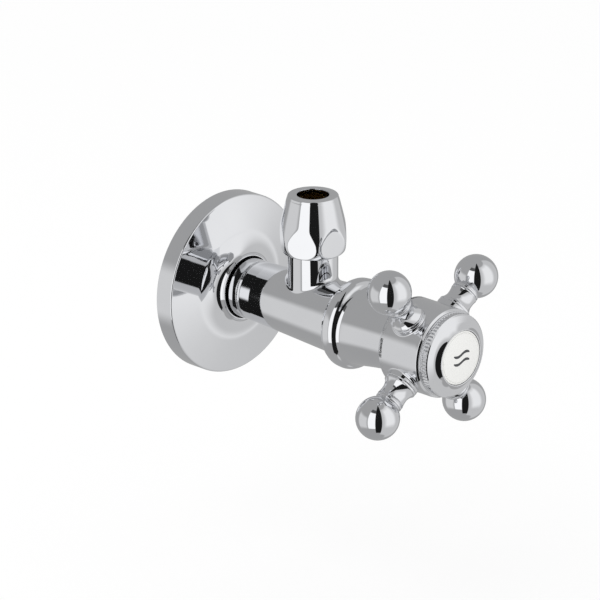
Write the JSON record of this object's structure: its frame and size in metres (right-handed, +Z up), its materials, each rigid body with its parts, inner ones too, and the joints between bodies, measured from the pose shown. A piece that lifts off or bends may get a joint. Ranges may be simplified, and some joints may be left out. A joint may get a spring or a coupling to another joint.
{
  "type": "angle stop valve",
  "caption": "Chromed angle stop valve with wall rosette, compression outlet and a four-ball cross handle that lifts a non-turning plug off its seat.",
  "frame": {"origin": "centre of the inlet thread where it crosses the wall plane, which is the back face of the rosette", "axes": "+Y runs along the inlet into the wall, -Y out to the handle; +Z is up, along the outlet; X is level across the valve"},
  "size_m": [0.061, 0.1216, 0.0701],
  "materials": {
    "chrome": "polished chrome plate on brass",
    "bare_brass": "turned, unplated",
    "black_rubber": "moulded EPDM",
    "white_ptfe": "turned PTFE",
    "stainless_steel": "bright stainless",
    "white_enamel": "glazed porcelain disc",
    "index_ink": "fired enamel inlay"
  },
  "bodies": {
    "valve": {"body_inlet": "chrome", "body_barrel": "chrome", "body_outlet": "chrome", "inlet_seal": "white_ptfe", "headpart_housing": "bare_brass", "headpart_gasket": "black_rubber", "cover_sleeve": "chrome"},
    "rosette": {"wall_rosette": "chrome", "rosette_oring": "black_rubber"},
    "olive": {"compression_olive": "bare_brass"},
    "nut": {"outlet_nut": "chrome"},
    "handle": {"spindle": "bare_brass", "spindle_orings": "black_rubber", "slip_washer": "white_ptfe", "circlip": "stainless_steel", "handle_hub": "chrome", "handle_arm_1": "chrome", "handle_arm_2": "chrome", "handle_arm_3": "chrome", "handle_arm_4": "chrome", "handle_screw": "stainless_steel", "lock_washer": "stainless_steel", "cap_ring": "chrome", "index_disc": "white_enamel", "index_mark": "index_ink"},
    "plug": {"valve_plug": "bare_brass", "plug_oring": "black_rubber", "seat_washer": "black_rubber", "washer_screw": "stainless_steel"}
  },
  "joints": [
    {"name": "handle_turn", "type": "hinge", "parent": "valve", "child": "handle", "pos_m": [0, 0, 0], "axis": [0, -1, 0], "range_deg": [0, 900]},
    {"name": "plug_lift", "type": "slide", "parent": "valve", "child": "plug", "axis": [0, -1, 0], "range_m": [0, 0.005]},
    {"name": "rosette_slide", "type": "slide", "parent": "valve", "child": "rosette", "axis": [0, -1, 0], "range_m": [0, 0.003]},
    {"name": "olive_lift", "type": "slide", "parent": "valve", "child": "olive", "axis": [0, 0, 1], "range_m": [0, 0.00267]},
    {"name": "nut_turn", "type": "hinge", "parent": "olive", "child": "nut", "pos_m": [0, -0.042, 0], "axis": [0, 0, 1], "range_deg": [0, 720]}
  ],
  "couplings": [
    {"joint": "plug_lift", "follows": "handle_turn", "m_per_rad": 0.00031831},
    {"joint": "olive_lift", "follows": "nut_turn", "m_per_rad": 0.00021279}
  ]
}
